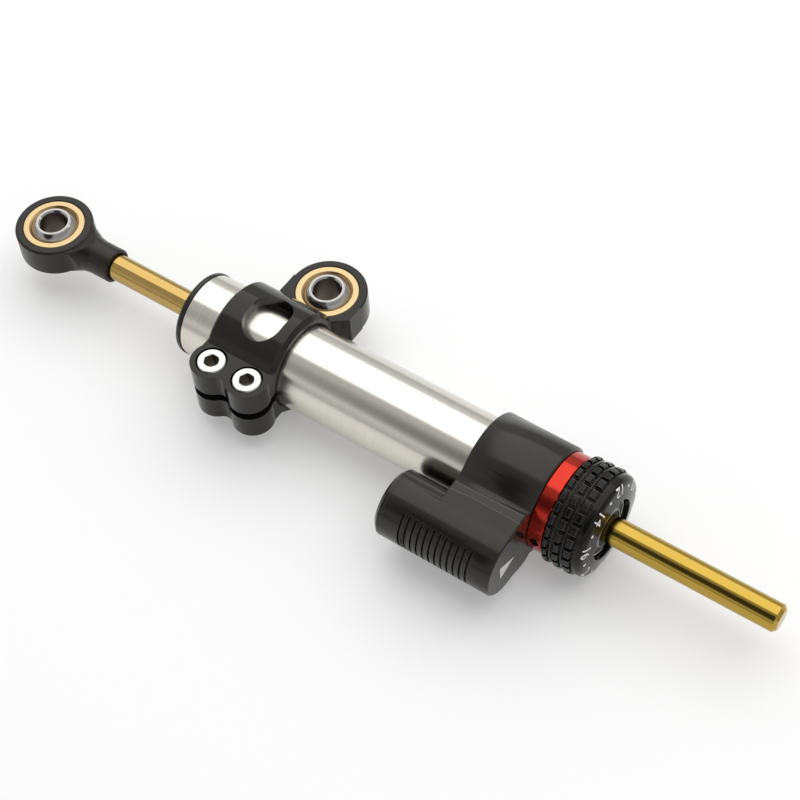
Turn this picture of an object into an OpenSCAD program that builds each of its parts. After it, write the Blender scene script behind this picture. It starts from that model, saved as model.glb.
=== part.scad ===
// Motorcycle steering damper with a through rod, a clamp-on eye and a click dial.
// The tube axis is the X axis. The origin is the centre of the rod-end eye,
// +X runs towards the dial and the free end of the rod, and +Z runs along the eye bolts.

/* [Rod] */
// Diameter of the through rod
rod_d = 8; // [7:0.5:9]
// Bare rod between the rod end and the front cap, at rest
rod_show = 32.2; // [30:0.2:40]
// Bare rod beyond the dial, at rest
rod_tail = 49.8; // [44:0.2:60]
// Chamfer on the free end of the rod
rod_chamfer = 1; // [0.4:0.1:1.5]
// Length of rod held inside the rod end
rod_grip = 11; // [9:0.5:12]

/* [Spherical bearings] */
// Bolt hole through each ball
bolt_d = 8; // [6:0.5:8.5]
// Diameter of each ball
ball_d = 15.875; // [15.5:0.125:16]
// Width of each ball along its bolt
ball_w = 12; // [11.5:0.1:12.4]
// Chamfer at both mouths of the bolt hole
ball_chamfer = 0.5; // [0.2:0.1:0.6]
// Outside diameter of the bearing race
race_d = 18.6; // [18.2:0.1:19]
// Mouth of the race round the ball
race_mouth_d = 13.6; // [13.2:0.1:14]
// Width of the bevel round the mouth of the race
race_bevel = 0.75; // [0.4:0.05:0.9]
// Outside diameter of both eyes
eye_d = 23.6; // [23:0.1:24.4]
// Thickness of both eyes
eye_t = 9.6; // [9:0.1:10.6]
// Rounding of the edges of both eyes
eye_round = 0.8; // [0.4:0.1:1]

/* [Rod end] */
// Distance from the eye centre to the end of the shank
shank_len = 23.8; // [23.4:0.2:28]
// Outside diameter of the shank
shank_d = 10.6; // [10.2:0.1:11.4]
// Width of the neck where it leaves the eye
neck_d = 12.2; // [11.6:0.1:13]
// Radius of the hollow between the eye and the neck
neck_fillet = 4; // [3:0.1:5]
// Depth of the neck's flats below the faces of the eye
neck_step = 0.6; // [0.3:0.1:1]
// Diameter of the chamfer at the mouth of the shank
shank_mouth_d = 9; // [8.8:0.1:9.4]

/* [Tube and front cap] */
// Outside diameter of the damper tube
tube_d = 25; // [24.4:0.1:26]
// Wall of the damper tube
tube_wall = 2; // [1.5:0.1:2.2]
// Bare length of tube between its front edge and the rear head
tube_show = 96.2; // [94:0.2:120]
// Length of tube that is screwed into the rear head
tube_grip = 8.6; // [7.5:0.1:9]
// Lip of the front cap that shows at the tube edge
cap_lip = 2; // [1.6:0.1:2.4]
// Outside diameter of that lip
cap_lip_d = 25.6; // [25.2:0.1:26.4]
// Length of the front cap inside the tube
cap_plug_len = 15.5; // [15.5:0.1:18]

/* [Piston] */
// Width of the piston between its circlips
piston_w = 10; // [9:0.2:12]
// Distance from the front edge of the tube to the middle of the piston, at rest
piston_place = 66; // [64:0.5:70]
// Width of the guide band on the piston
band_w = 5; // [4:0.1:6]
// Thickness of the guide band
band_t = 1.2; // [1:0.1:1.5]

/* [Clamp] */
// Distance from the front edge of the tube to the middle of the clamp, at rest
clamp_place = 22.9; // [21:0.1:40]
// Width of the clamp band along the tube
clamp_w = 23.4; // [22:0.1:26]
// Wall of the clamp band
clamp_wall = 3.25; // [2.8:0.05:4]
// Chamfer on the front edge of the clamp band
clamp_chamfer = 0.8; // [0.3:0.1:1.2]
// Chamfer on the rear edge of the clamp band
clamp_rear_chamfer = 1.3; // [0.3:0.1:1.6]
// Chamfer at both mouths of the clamp bore
clamp_mouth = 0.7; // [0.3:0.1:1]
// Wall of metal between the tube and the race of the clamp eye
eye_wall = 1; // [0.7:0.1:3]
// Distance of the clamp eye behind the middle of the band
clamp_eye_shift = 4.1; // [3.5:0.1:5]
// Radius of the hollow where the eye flows into the front edge of the band
eye_fillet = 6.5; // [5:0.1:7]
// Width of the window in the top of the band
window_w = 12; // [10:0.1:13]
// Length of the window across the band
window_len = 16.2; // [14:0.1:17]
// Distance of the window behind the middle of the band
window_place = 1.2; // [0:0.1:2]
// Distance between the two clamp screws
screw_pitch = 12.4; // [11.6:0.1:13]
// Distance from the tube axis to the clamp screws
screw_reach = 17.5; // [17.2:0.1:19]
// Radius of the lobe round each screw
lobe_r = 6.2; // [5.8:0.1:6.4]
// Radius of the hollow between the two lobes
lobe_fillet = 3; // [2:0.1:4]
// Height of each ear above or below the middle
ear_h = 9.1; // [8.6:0.1:10]
// Gap between the two ears
split_gap = 2.8; // [2:0.1:3.2]

/* [Clamp screws] */
// Thread diameter of the screws
screw_d = 5; // [4:0.5:5]
// Diameter of the screw heads
screw_head_d = 8.5; // [8:0.1:9]
// Height of the screw heads
screw_head_h = 5; // [4.5:0.1:5.2]
// Width across the flats of the hexagon socket
socket_af = 4; // [3:0.1:4.5]
// Depth of the hexagon socket
socket_depth = 2.8; // [2:0.1:3.2]

/* [Rear head and reservoir] */
// Outside diameter of the rear head
head_d = 30.7; // [30.2:0.1:32]
// Length of the rear head
head_len = 22.3; // [21.5:0.1:26]
// Distance from the tube axis to the reservoir axis
reservoir_reach = 23.6; // [23.3:0.1:26]
// Outside diameter of the reservoir
reservoir_d = 19.6; // [19.4:0.1:20.4]
// Length of the reservoir in front of the head, with its cap
reservoir_lead = 14; // [13:0.1:20]
// Bore of the reservoir
reservoir_bore_d = 15.2; // [14:0.1:15.6]
// Thickness of the reservoir cap rim
reservoir_cap_t = 2; // [1.8:0.1:3]
// Chamfer on the outer edge of the reservoir cap
reservoir_cap_chamfer = 1; // [0.5:0.1:1.4]
// Radius of the hollow between head and reservoir
head_fillet = 6; // [4:0.1:8]
// Chamfer on the outer edges of the head and the reservoir
head_chamfer = 0.5; // [0.2:0.1:0.8]
// Number of cooling grooves on the reservoir
groove_count = 12; // [4:1:14]
// Distance from one groove to the next
groove_pitch = 1.93; // [1.6:0.01:2]
// Width of each groove
groove_w = 0.65; // [0.4:0.05:0.8]
// Depth of each groove
groove_depth = 1.1; // [0.6:0.05:1.4]
// Distance from the reservoir cap to the first groove
groove_start = 5.8; // [4:0.1:8]
// Distance from the middle to each end of a groove, above and below
groove_reach = 8; // [6:0.1:9]

/* [Dial] */
// Width of the red collar
collar_w = 4.6; // [4.4:0.1:6]
// Outside diameter of the red collar
collar_d = 28.9; // [28:0.1:29.6]
// Total width of the dial
dial_w = 12.6; // [12:0.1:15]
// Diameter over the knurled rows
dial_d = 31.2; // [30.6:0.1:32]
// Height of the knurl teeth over the grooves between the rows
knurl_h = 1.2; // [0.8:0.05:1.4]
// Number of knurled rows
knurl_rows = 3; // [1:1:3]
// Number of teeth in each row
knurl_teeth = 26; // [20:1:30]
// Width of the knurled row next to the collar
knurl_w = 1.5; // [1.2:0.1:1.7]
// Growth in width from one row to the next
knurl_growth = 0.35; // [0:0.05:0.4]
// Distance from one row to the next
knurl_pitch = 3.15; // [3:0.05:3.4]
// Height of the plain rib in front of each row
rib_h = 0.6; // [0.3:0.05:0.8]
// Width of the notch between two teeth
notch_w = 1.3; // [1:0.1:1.6]
// Radius of the rounded edge of the dial face
face_round = 2; // [1:0.1:2.4]
// Diameter of the recess in the dial face
recess_d = 18; // [17.4:0.1:19]
// Depth of the recess in the dial face
recess_depth = 2.6; // [2.4:0.1:4.4]
// Number of clicks in one turn
clicks = 16; // [8:1:20]
// Travel of the metering sleeve from the first click to the last
sleeve_travel = 1.4; // [0.8:0.1:1.5]

/* [Clearances] */
// Radial clearance of every sliding or turning fit
run_fit = 0.03; // [0.02:0.01:0.05]
// Radial clearance of pieces that are pressed or screwed together
seat_fit = 0.01; // [0.005:0.005:0.02]
// Gap between flat faces that turn past each other
face_gap = 0.3; // [0.2:0.05:0.4]

/* [Hidden] */
$fn = 96;
rod_r = rod_d / 2;
ball_r = ball_d / 2;
race_r = race_d / 2;
eye_r = eye_d / 2;
tube_r = tube_d / 2;
bore_r = tube_r - tube_wall;
head_r = head_d / 2;
reservoir_r = reservoir_d / 2;
reservoir_bore_r = reservoir_bore_d / 2;
collar_r = collar_d / 2;
band_r = tube_r + clamp_wall;
slide_r = rod_r + run_fit;

// Stations along the tube axis
clamp_eye_reach = tube_r + eye_wall + race_r;
rod_x0 = shank_len - rod_grip;
cap_x0 = shank_len + rod_show;
tube_x0 = cap_x0 + cap_lip;
cap_x1 = tube_x0 + cap_plug_len;
head_x0 = tube_x0 + tube_show;
tube_x1 = head_x0 + tube_grip;
head_x1 = head_x0 + head_len;
collar_x1 = head_x1 + collar_w;
dial_x0 = collar_x1 + face_gap;
dial_x1 = dial_x0 + dial_w;
rod_x1 = dial_x1 + rod_tail;
piston_x = tube_x0 + piston_place;
clamp_x = tube_x0 + clamp_place;
clamp_x0 = clamp_x - clamp_w / 2;
clamp_x1 = clamp_x + clamp_w / 2;
clamp_eye_x = clamp_x + clamp_eye_shift;
reservoir_x0 = head_x0 - reservoir_lead;
reservoir_x1 = reservoir_x0 + reservoir_cap_t;

// Rod guides, the same at both ends
guide_r = rod_r + 1.3;
bush_len = 6;
seal_len = 3;
wiper_len = 3;
guide_bore_r = rod_r + 0.4;

// Stack between the rear head and the dial
hub_r = guide_r + 0.7;
hub_thread_r = hub_r + 0.5;
hub_thread_len = 4.8;
sleeve_r = hub_r + 3;
sleeve_x0 = tube_x1 + hub_thread_len + 1;
dial_web_x0 = dial_x0 + 4.9;
dial_web_x1 = dial_x1 - recess_depth;
sleeve_x1 = dial_web_x0 - sleeve_travel - face_gap;
circlip_t = 1;
circlip_r = recess_d / 2 - 0.6;
circlip_seat_r = hub_r - 0.33;
circlip_x0 = dial_web_x1 + 0.1;
hub_x1 = circlip_x0 + circlip_t + 0.6;
collar_spigot_r = sleeve_r + 1.3;
collar_spigot_len = 2;
port_r = 1.5;
port_x = sleeve_x0 + 2.4;
ring_section = 1.5;
groove_half = ring_section / 2 + 0.1;
sleeve_ring_x = sleeve_x0 + 5.2;
set_screw_d = 3;
set_screw_x = head_x1 + collar_w * 0.45;
key_tip_r = sleeve_r - 0.9;
key_r = 1;
ball_track_r = (sleeve_r + collar_r) / 2 + 0.3;
detent_r = 1.5;
detent_x = dial_x0 - 0.05 - detent_r;
click_travel = 0.4;
spring_r = 1.15;
spring_wire = 0.4;
detent_bore_x0 = head_x1 - 6;
head_ring_x = head_x0 + 3;
head_ring_section = 1.2;

// Dial: the core under its teeth and the plain flange in front of them
core_r = dial_d / 2 - knurl_h;
flange_r = core_r + rib_h;
rib_w = 0.65;
rib_gap = 0.4;

// Reservoir: its cap, its floating piston and the closed end of its bore
float_w = 8;
float_room = 6.5;
reservoir_plug_len = 4.5;
float_x0 = reservoir_x1 + reservoir_plug_len + float_room;
reservoir_ring_x = reservoir_x1 + reservoir_plug_len - 1.6;
pin_hole_d = 2;
pin_hole_depth = 1.2;
reservoir_end_wall = 3.5;
reservoir_end = head_x1 - reservoir_end_wall;

// Points round an arc, from angle a0 to a1 in n steps
function arc(c, r, a0, a1, n) =
    [for (i = [0:n]) c + r * [cos(a0 + (a1 - a0) * i / n), sin(a0 + (a1 - a0) * i / n)]];

// Solid of revolution about the tube axis, from [radius, station] points
module turned(points) {
    rotate([0, 90, 0]) rotate_extrude() polygon(points);
}

// Plain tube about the tube axis
module ring(x0, x1, r_in, r_out) {
    turned([[r_in, x0], [r_out, x0], [r_out, x1], [r_in, x1]]);
}

// Plain rod about the tube axis
module bar(x0, x1, r) {
    translate([x0, 0, 0]) rotate([0, 90, 0]) cylinder(r = r, h = x1 - x0);
}

// Rod with both ends chamfered
module chamfered_bar(x0, x1, r, c0, c1) {
    turned([[0, x0], [r - c0, x0], [r, x0 + c0], [r, x1 - c1], [r - c1, x1], [0, x1]]);
}

// Round-section sealing ring in a groove whose floor is at radius floor_r
module o_ring(x, floor_r, section = ring_section) {
    translate([x, 0, 0]) rotate([0, 90, 0]) rotate_extrude()
        translate([floor_r + section / 2, 0]) circle(d = section - 2 * seat_fit, $fn = 32);
}

// Upright disc with rounded edges, centred on z = 0
module eye_disc(r, t, edge) {
    rotate_extrude() {
        polygon([[0, -t / 2], [r - edge, -t / 2], [r - edge, t / 2], [0, t / 2]]);
        polygon([[0, edge - t / 2], [r, edge - t / 2], [r, t / 2 - edge], [0, t / 2 - edge]]);
        for (side = [-1, 1]) translate([r - edge, side * (t / 2 - edge)]) circle(edge, $fn = 24);
    }
}

// Seat for a race, with its lead chamfers
module race_seat() {
    cylinder(r = race_r + seat_fit, h = eye_t + 2, center = true);
    for (side = [-1, 1]) scale([1, 1, side]) translate([0, 0, eye_t / 2 - 0.3])
        cylinder(r1 = race_r, r2 = race_r + 0.6, h = 0.6);
}

// Bearing race with a spherical seat for the ball and a bevelled mouth
module race() {
    face_z = eye_t / 2 - 0.1;
    difference() {
        eye_disc(race_r, 2 * face_z, 0.25);
        sphere(r = ball_r + run_fit);
        cylinder(d = race_mouth_d, h = eye_t + 1, center = true);
        for (side = [-1, 1]) scale([1, 1, side]) translate([0, 0, face_z - race_bevel])
            cylinder(r1 = race_mouth_d / 2, r2 = race_mouth_d / 2 + 2 * race_bevel, h = 2 * race_bevel);
    }
}

// Ball with flat faces and a chamfered bolt hole
module bearing_ball() {
    difference() {
        intersection() {
            sphere(r = ball_r);
            cube([2 * ball_d, 2 * ball_d, ball_w], center = true);
        }
        cylinder(d = bolt_d, h = ball_w + 2, center = true);
        for (side = [-1, 1]) scale([1, 1, side]) translate([0, 0, ball_w / 2 - ball_chamfer])
            cylinder(d1 = bolt_d, d2 = bolt_d + 4 * ball_chamfer, h = 2 * ball_chamfer);
    }
}

// Lip seal or wiper round the rod, with a dished front
module rod_seal(x0, len, dish) {
    turned([
        [slide_r, x0 + dish], [guide_r - 0.4, x0], [guide_r - seat_fit, x0 + 0.2],
        [guide_r - seat_fit, x0 + len], [slide_r, x0 + len]
    ]);
}

module piston_rod() {
    clip_x = piston_w / 2 + 0.05;
    color([0.78, 0.62, 0.22]) difference() {
        chamfered_bar(rod_x0, rod_x1, rod_r, 0.5, rod_chamfer);
        for (side = [-1, 1]) translate([piston_x + side * (clip_x + 0.5), 0, 0])
            ring(-0.52, 0.52, rod_r - 0.5, rod_r + 1);
    }
}

// The hollow on each side of the neck touches the eye and the side of the neck
function neck_hollow_y() = neck_d / 2 + neck_fillet;
function neck_hollow_x() = sqrt(pow(eye_r + neck_fillet, 2) - pow(neck_hollow_y(), 2));

// Neck and shank seen from above
module neck_plan() {
    root_y = neck_hollow_y() * eye_r / (eye_r + neck_fillet);
    x1 = neck_hollow_x();
    difference() {
        polygon([
            [0, -root_y], [x1, -root_y], [x1, -neck_d / 2], [shank_len, -neck_d / 2],
            [shank_len, neck_d / 2], [x1, neck_d / 2], [x1, root_y], [0, root_y]
        ]);
        for (side = [-1, 1]) translate([x1, side * neck_hollow_y()]) circle(neck_fillet);
    }
}

// Neck and shank seen from the side: flats at the eye rise to the full shank
module neck_side() {
    bend_r = 8;
    flat_z = eye_t / 2 - neck_step;
    top_z = shank_d / 2 + 0.05;
    bend = acos(1 - (top_z - flat_z) / (2 * bend_r));
    x0 = eye_r - 1.5;
    x1 = x0 + 2 * bend_r * sin(bend);
    rise = concat(
        [[0, flat_z]], arc([x0, flat_z + bend_r], bend_r, -90, bend - 90, 6),
        arc([x1, top_z - bend_r], bend_r, 90 + bend, 90, 6), [[shank_len, top_z]]
    );
    polygon(concat(rise, [for (i = [len(rise) - 1:-1:0]) [rise[i][0], -rise[i][1]]]));
}

// Neck and shank: round, and trimmed to both views
module neck() {
    shank_r = shank_d / 2;
    edge = 0.6;
    x1 = neck_hollow_x();
    intersection() {
        turned(concat(
            [[0, 0], [eye_r * 0.7, 0], [eye_r * 0.7, x1 - 3], [neck_d / 2 + 0.4, x1],
             [shank_r + 0.35, x1 + 2], [shank_r, x1 + 4.5]],
            arc([shank_r - edge, shank_len - edge], edge, 0, 90, 4), [[0, shank_len]]
        ));
        translate([0, 0, -eye_t]) linear_extrude(2 * eye_t) neck_plan();
        translate([0, eye_r, 0]) rotate([90, 0, 0]) linear_extrude(2 * eye_r) neck_side();
    }
}

module rod_end_housing() {
    mouth = shank_mouth_d / 2 - rod_r;
    color([0.1, 0.1, 0.1]) difference() {
        union() {
            eye_disc(eye_r, eye_t, eye_round);
            neck();
        }
        race_seat();
        bar(rod_x0 - 0.3, shank_len + 1, rod_r + seat_fit);
        turned([[0, shank_len - mouth], [rod_r, shank_len - mouth], [rod_r + 2 * mouth, shank_len + mouth],
            [0, shank_len + mouth]]);
    }
}

module rod_end_race() {
    color([0.85, 0.7, 0.4]) race();
}

module rod_end_ball() {
    color([0.75, 0.76, 0.78]) bearing_ball();
}

module tube() {
    color([0.78, 0.77, 0.74]) turned([
        [bore_r, tube_x0], [tube_r - 0.2, tube_x0], [tube_r, tube_x0 + 0.2],
        [tube_r, tube_x1], [bore_r, tube_x1]
    ]);
}

module front_cap() {
    plug_r = bore_r - seat_fit;
    groove_x = cap_x1 - 4.5;
    lip_r = cap_lip_d / 2;
    lip_round = cap_lip * 0.65;
    color([0.08, 0.08, 0.08]) difference() {
        union() {
            turned(concat(
                [[0, cap_x0], [lip_r - lip_round, cap_x0]],
                arc([lip_r - lip_round, cap_x0 + lip_round], lip_round, -90, 0, 8),
                [[lip_r, tube_x0 - 0.2], [lip_r - 0.2, tube_x0], [0, tube_x0]]
            ));
            chamfered_bar(cap_x0 + 0.5, cap_x1, plug_r, 0, 0.5);
        }
        bar(cap_x0 - 1, cap_x1 + 1, guide_bore_r);
        bar(cap_x0 + 0.8, cap_x0 + 0.8 + wiper_len, guide_r);
        bar(cap_x0 - 1, cap_x0 + 1, guide_r - 0.4);
        bar(cap_x1 - bush_len - seal_len - 0.5, cap_x1 + 1, guide_r);
        translate([groove_x, 0, 0])
            ring(-groove_half, groove_half, bore_r - ring_section, bore_r + 1);
        for (side = [-1, 1]) translate([cap_x0 - 1, side * (tube_r - 4.6), 0])
            rotate([0, 90, 0]) cylinder(d = 2.5, h = 4);
    }
}

module front_cap_o_ring() {
    color([0.05, 0.05, 0.05]) o_ring(cap_x1 - 4.5, bore_r - ring_section);
}

module front_wiper() {
    color([0.15, 0.15, 0.15]) rod_seal(cap_x0 + 0.8, wiper_len, 0.6);
}

module front_rod_seal() {
    color([0.15, 0.15, 0.15]) rod_seal(cap_x1 - bush_len - seal_len - 0.3, seal_len, 0.8);
}

module front_bush() {
    color([0.6, 0.45, 0.25]) ring(cap_x1 - bush_len, cap_x1, slide_r, guide_r - seat_fit);
}

// Band, ears and eye of the clamp, before anything is cut from them
module clamp_blank() {
    x_mid = clamp_x;
    eye_x = clamp_eye_x;
    chamfered_bar(clamp_x0, clamp_x1, band_r, clamp_chamfer, clamp_rear_chamfer);
    for (side = [-1, 1]) translate([x_mid + side * screw_pitch / 2, -screw_reach, -ear_h])
        cylinder(r = lobe_r, h = 2 * ear_h);
    translate([clamp_x0, -screw_reach, -ear_h])
        cube([clamp_w, screw_reach - tube_r / 2, 2 * ear_h]);
    translate([eye_x, clamp_eye_reach, 0]) eye_disc(eye_r, eye_t, eye_round);
    hollow_y = clamp_eye_reach - eye_r * 0.15;
    flare_x = eye_x - eye_r;
    hollow_dx = eye_fillet - (flare_x - clamp_x0);
    root_y = hollow_y - sqrt(pow(eye_fillet, 2) - pow(hollow_dx, 2));
    difference() {
        translate([0, 0, -eye_t / 2]) linear_extrude(eye_t) polygon([
            [clamp_x0, tube_r / 2], [clamp_x0, root_y], [flare_x, root_y], [flare_x, clamp_eye_reach],
            [eye_x + eye_r, clamp_eye_reach], [eye_x + eye_r, band_r + 1.8],
            [clamp_x1, band_r - 1.4], [clamp_x1, tube_r / 2]
        ]);
        translate([flare_x - eye_fillet, hollow_y, 0])
            cylinder(r = eye_fillet, h = eye_t + 1, center = true);
    }
    difference() {
        web_y = lobe_hollow_y() - lobe_fillet * cos(lobe_hollow_angle());
        web_x = screw_pitch / 2 - lobe_r * sin(lobe_hollow_angle());
        translate([0, 0, -ear_h]) linear_extrude(2 * ear_h) polygon([
            [x_mid - screw_pitch / 2, -screw_reach], [x_mid - web_x, -web_y],
            [x_mid + web_x, -web_y], [x_mid + screw_pitch / 2, -screw_reach]
        ]);
        translate([x_mid, -lobe_hollow_y(), 0])
            cylinder(r = lobe_fillet, h = 2 * ear_h + 1, center = true);
    }
}

// The hollow between the lobes touches both of them
function lobe_hollow_angle() = asin(screw_pitch / 2 / (lobe_r + lobe_fillet));
function lobe_hollow_y() = screw_reach + (lobe_r + lobe_fillet) * cos(lobe_hollow_angle());

module clamp_body() {
    color([0.1, 0.1, 0.1]) difference() {
        clamp_blank();
        bar(clamp_x0 - 1, clamp_x1 + 1, tube_r + run_fit);
        for (end = [0, 1]) translate([end == 0 ? clamp_x0 : clamp_x1, 0, 0]) mirror([end, 0, 0])
            turned([[0, -1], [tube_r + clamp_mouth + 1, -1], [tube_r, clamp_mouth], [0, clamp_mouth]]);
        translate([clamp_x0 - 1, -screw_reach - 2 * lobe_r, -split_gap / 2])
            cube([clamp_w + 2, screw_reach + 2 * lobe_r - tube_r / 2, split_gap]);
        translate([clamp_x + window_place, 0, 0]) {
            for (side = [-1, 1]) translate([0, side * window_shift(), 0])
                cylinder(d = window_w, h = band_r + 5);
            translate([-window_w / 2, -window_shift(), 0])
                cube([window_w, 2 * window_shift(), band_r + 5]);
        }
        translate([clamp_eye_x, clamp_eye_reach, 0]) {
            race_seat();
            cylinder(r = race_r + seat_fit, h = band_r + 5);
        }
        for (side = [-1, 1]) translate([clamp_x + side * screw_pitch / 2, -screw_reach, 0]) {
            translate([0, 0, ear_h - screw_head_h]) cylinder(d = screw_head_d + 0.7, h = screw_head_h + 1);
            cylinder(d = screw_d + 0.5, h = ear_h + 1);
            translate([0, 0, -ear_h - 1]) cylinder(d = screw_d + 2 * seat_fit, h = ear_h + 2);
        }
    }
}

// The window is a slot: two round ends this far either side of its middle
function window_shift() = (window_len - window_w) / 2;

module clamp_screws() {
    head_z = ear_h - screw_head_h;
    color([0.8, 0.8, 0.8]) for (side = [-1, 1])
        translate([clamp_x + side * screw_pitch / 2, -screw_reach, head_z]) difference() {
            union() {
                rotate_extrude() polygon([
                    [0, 0], [screw_head_d / 2, 0], [screw_head_d / 2, screw_head_h - 0.35],
                    [screw_head_d / 2 - 0.35, screw_head_h], [0, screw_head_h]
                ]);
                translate([0, 0, -head_z - ear_h + 0.6]) cylinder(d = screw_d, h = head_z + ear_h);
            }
            translate([0, 0, screw_head_h - socket_depth])
                cylinder(d = socket_af / cos(30), h = socket_depth + 1, $fn = 6);
            translate([0, 0, screw_head_h - 0.2])
                cylinder(d1 = socket_af, d2 = socket_af + 1.2, h = 0.6);
        }
}

module clamp_race() {
    color([0.85, 0.7, 0.4]) translate([clamp_eye_x, clamp_eye_reach, 0]) race();
}

module clamp_ball() {
    color([0.75, 0.76, 0.78]) translate([clamp_eye_x, clamp_eye_reach, 0]) bearing_ball();
}

module piston() {
    half = piston_w / 2;
    piston_r = bore_r - run_fit;
    color([0.65, 0.65, 0.67]) translate([piston_x, 0, 0]) difference() {
        chamfered_bar(-half, half, piston_r, 0.4, 0.4);
        bar(-half - 1, half + 1, slide_r);
        ring(-band_w / 2, band_w / 2, piston_r - band_t, piston_r + 1);
        ring(-groove_half, groove_half, piston_r - band_t - ring_section, piston_r);
        ring(-groove_half, groove_half, 0, rod_r + ring_section);
    }
}

module piston_band() {
    piston_r = bore_r - run_fit;
    color([0.2, 0.35, 0.3]) translate([piston_x, 0, 0])
        ring(-band_w / 2 + 0.05, band_w / 2 - 0.05, piston_r - band_t + seat_fit, piston_r);
}

module piston_band_o_ring() {
    color([0.05, 0.05, 0.05]) o_ring(piston_x, bore_r - run_fit - band_t - ring_section);
}

module piston_rod_o_ring() {
    color([0.05, 0.05, 0.05]) o_ring(piston_x, rod_r);
}

// Open ring with a gap for its pliers
module circlip(x, r_in, r_out, gap) {
    difference() {
        ring(x, x + circlip_t, r_in, r_out);
        translate([x - 1, -gap / 2, -r_out - 1]) cube([circlip_t + 2, gap, r_out - r_in + 2]);
    }
}

module piston_circlips() {
    offset_x = piston_w / 2 + 0.05;
    color([0.5, 0.5, 0.5]) {
        circlip(piston_x + offset_x, rod_r - 0.48, rod_r + 1.4, 3);
        circlip(piston_x - offset_x - circlip_t, rod_r - 0.48, rod_r + 1.4, 3);
    }
}

// Fills the corner between the head and the flat web above or below the reservoir
module head_corner() {
    c = head_chamfer;
    c_z = reservoir_r + head_fillet;
    c_y = sqrt(pow(head_r + head_fillet, 2) - pow(c_z, 2));
    k = head_r / (head_r + head_fillet);
    difference() {
        translate([head_x0, 0, 0]) rotate([90, 0, 90]) linear_extrude(head_len) polygon([
            [-c_y * k, c_z * k], [-c_y, c_z], [-c_y, reservoir_r / 2], [-c_y * k, reservoir_r / 2]
        ]);
        translate([0, -c_y, c_z]) turned([
            [0, head_x0 - c], [head_fillet + 2 * c, head_x0 - c], [head_fillet, head_x0 + c],
            [head_fillet, head_x1 - c], [head_fillet + 2 * c, head_x1 + c], [0, head_x1 + c]
        ]);
    }
}

// Outer form of the head with the reservoir beside it, and all its edges chamfered
module head_blank() {
    c = head_chamfer;
    r = reservoir_r;
    chamfered_bar(head_x0, head_x1, head_r, c, c);
    translate([0, -reservoir_reach, 0]) chamfered_bar(reservoir_x1, head_x1, r, 0, c);
    rotate([90, 0, 0]) linear_extrude(reservoir_reach) polygon([
        [head_x0, c - r], [head_x0 + c, -r], [head_x1 - c, -r], [head_x1, c - r],
        [head_x1, r - c], [head_x1 - c, r], [head_x0 + c, r], [head_x0, r - c]
    ]);
    head_corner();
    mirror([0, 0, 1]) head_corner();
}

// Cutter for one cooling groove, which ends at the same height above and below
module groove_cutter(x) {
    side_y = sqrt(pow(reservoir_r, 2) - pow(groove_reach, 2));
    translate([x, -reservoir_reach, 0]) difference() {
        translate([0, -reservoir_r - 1, -reservoir_r])
            cube([groove_w, reservoir_r + 1 - side_y, 2 * reservoir_r]);
        bar(-1, groove_w + 1, reservoir_r - groove_depth);
    }
}

module rear_head() {
    color([0.1, 0.1, 0.1]) difference() {
        union() {
            head_blank();
            bar(head_x1 - 1, head_x1 + collar_spigot_len, collar_spigot_r);
        }
        bar(head_x0 - 1, tube_x1, tube_r + seat_fit);
        ring(head_ring_x, head_ring_x + head_ring_section + 0.2, tube_r - 1, tube_r + head_ring_section);
        translate([set_screw_x, 0, 0]) rotate([90, 0, 0])
            cylinder(d = set_screw_d + 0.2, h = collar_spigot_r + 1);
        bar(tube_x1 - 1, head_x1, hub_thread_r + seat_fit);
        bar(sleeve_x0 - 0.8, head_x1 + collar_spigot_len + 1, sleeve_r + run_fit);
        translate([tube_x1 - 1, 0, hub_thread_r + 1.4]) rotate([0, 90, 0])
            cylinder(r = 1.1, h = hub_thread_len + 2);
        translate([port_x, -sleeve_r + 1, 0]) rotate([90, 0, 0])
            cylinder(r = port_r, h = reservoir_reach - sleeve_r - 1);
        translate([0, -reservoir_reach, 0]) bar(reservoir_x1 - 1, reservoir_end, reservoir_bore_r);
        translate([detent_bore_x0, 0, ball_track_r]) rotate([0, 90, 0])
            cylinder(r = detent_r + 0.05, h = 10);
        for (i = [0:groove_count - 1])
            groove_cutter(reservoir_x1 + groove_start + i * groove_pitch);
    }
}

module head_o_ring() {
    color([0.05, 0.05, 0.05])
        o_ring(head_ring_x + head_ring_section / 2 + 0.1, tube_r, head_ring_section);
}

module rod_hub() {
    color([0.62, 0.62, 0.62]) difference() {
        union() {
            bar(tube_x1, tube_x1 + hub_thread_len, hub_thread_r);
            chamfered_bar(tube_x1, hub_x1, hub_r, 0, 0.4);
        }
        bar(tube_x1 - 1, hub_x1 + 1, guide_bore_r);
        bar(tube_x1 - 1, tube_x1 + bush_len + seal_len + 0.5, guide_r);
        bar(hub_x1 - wiper_len - 0.5, hub_x1 + 1, guide_r);
        ring(circlip_x0 - 0.02, circlip_x0 + circlip_t + 0.02, circlip_seat_r - 0.02, hub_r + 1);
    }
}

module rear_bush() {
    color([0.6, 0.45, 0.25]) ring(tube_x1, tube_x1 + bush_len, slide_r, guide_r - seat_fit);
}

module rear_rod_seal() {
    color([0.15, 0.15, 0.15]) translate([2 * tube_x1 + 2 * bush_len + seal_len + 0.5, 0, 0])
        mirror([1, 0, 0]) rod_seal(tube_x1 + bush_len + 0.1, seal_len, 0.8);
}

module rear_wiper() {
    color([0.15, 0.15, 0.15]) translate([2 * hub_x1 - wiper_len - 0.1, 0, 0])
        mirror([1, 0, 0]) rod_seal(hub_x1 - wiper_len, wiper_len, 0.6);
}

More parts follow.
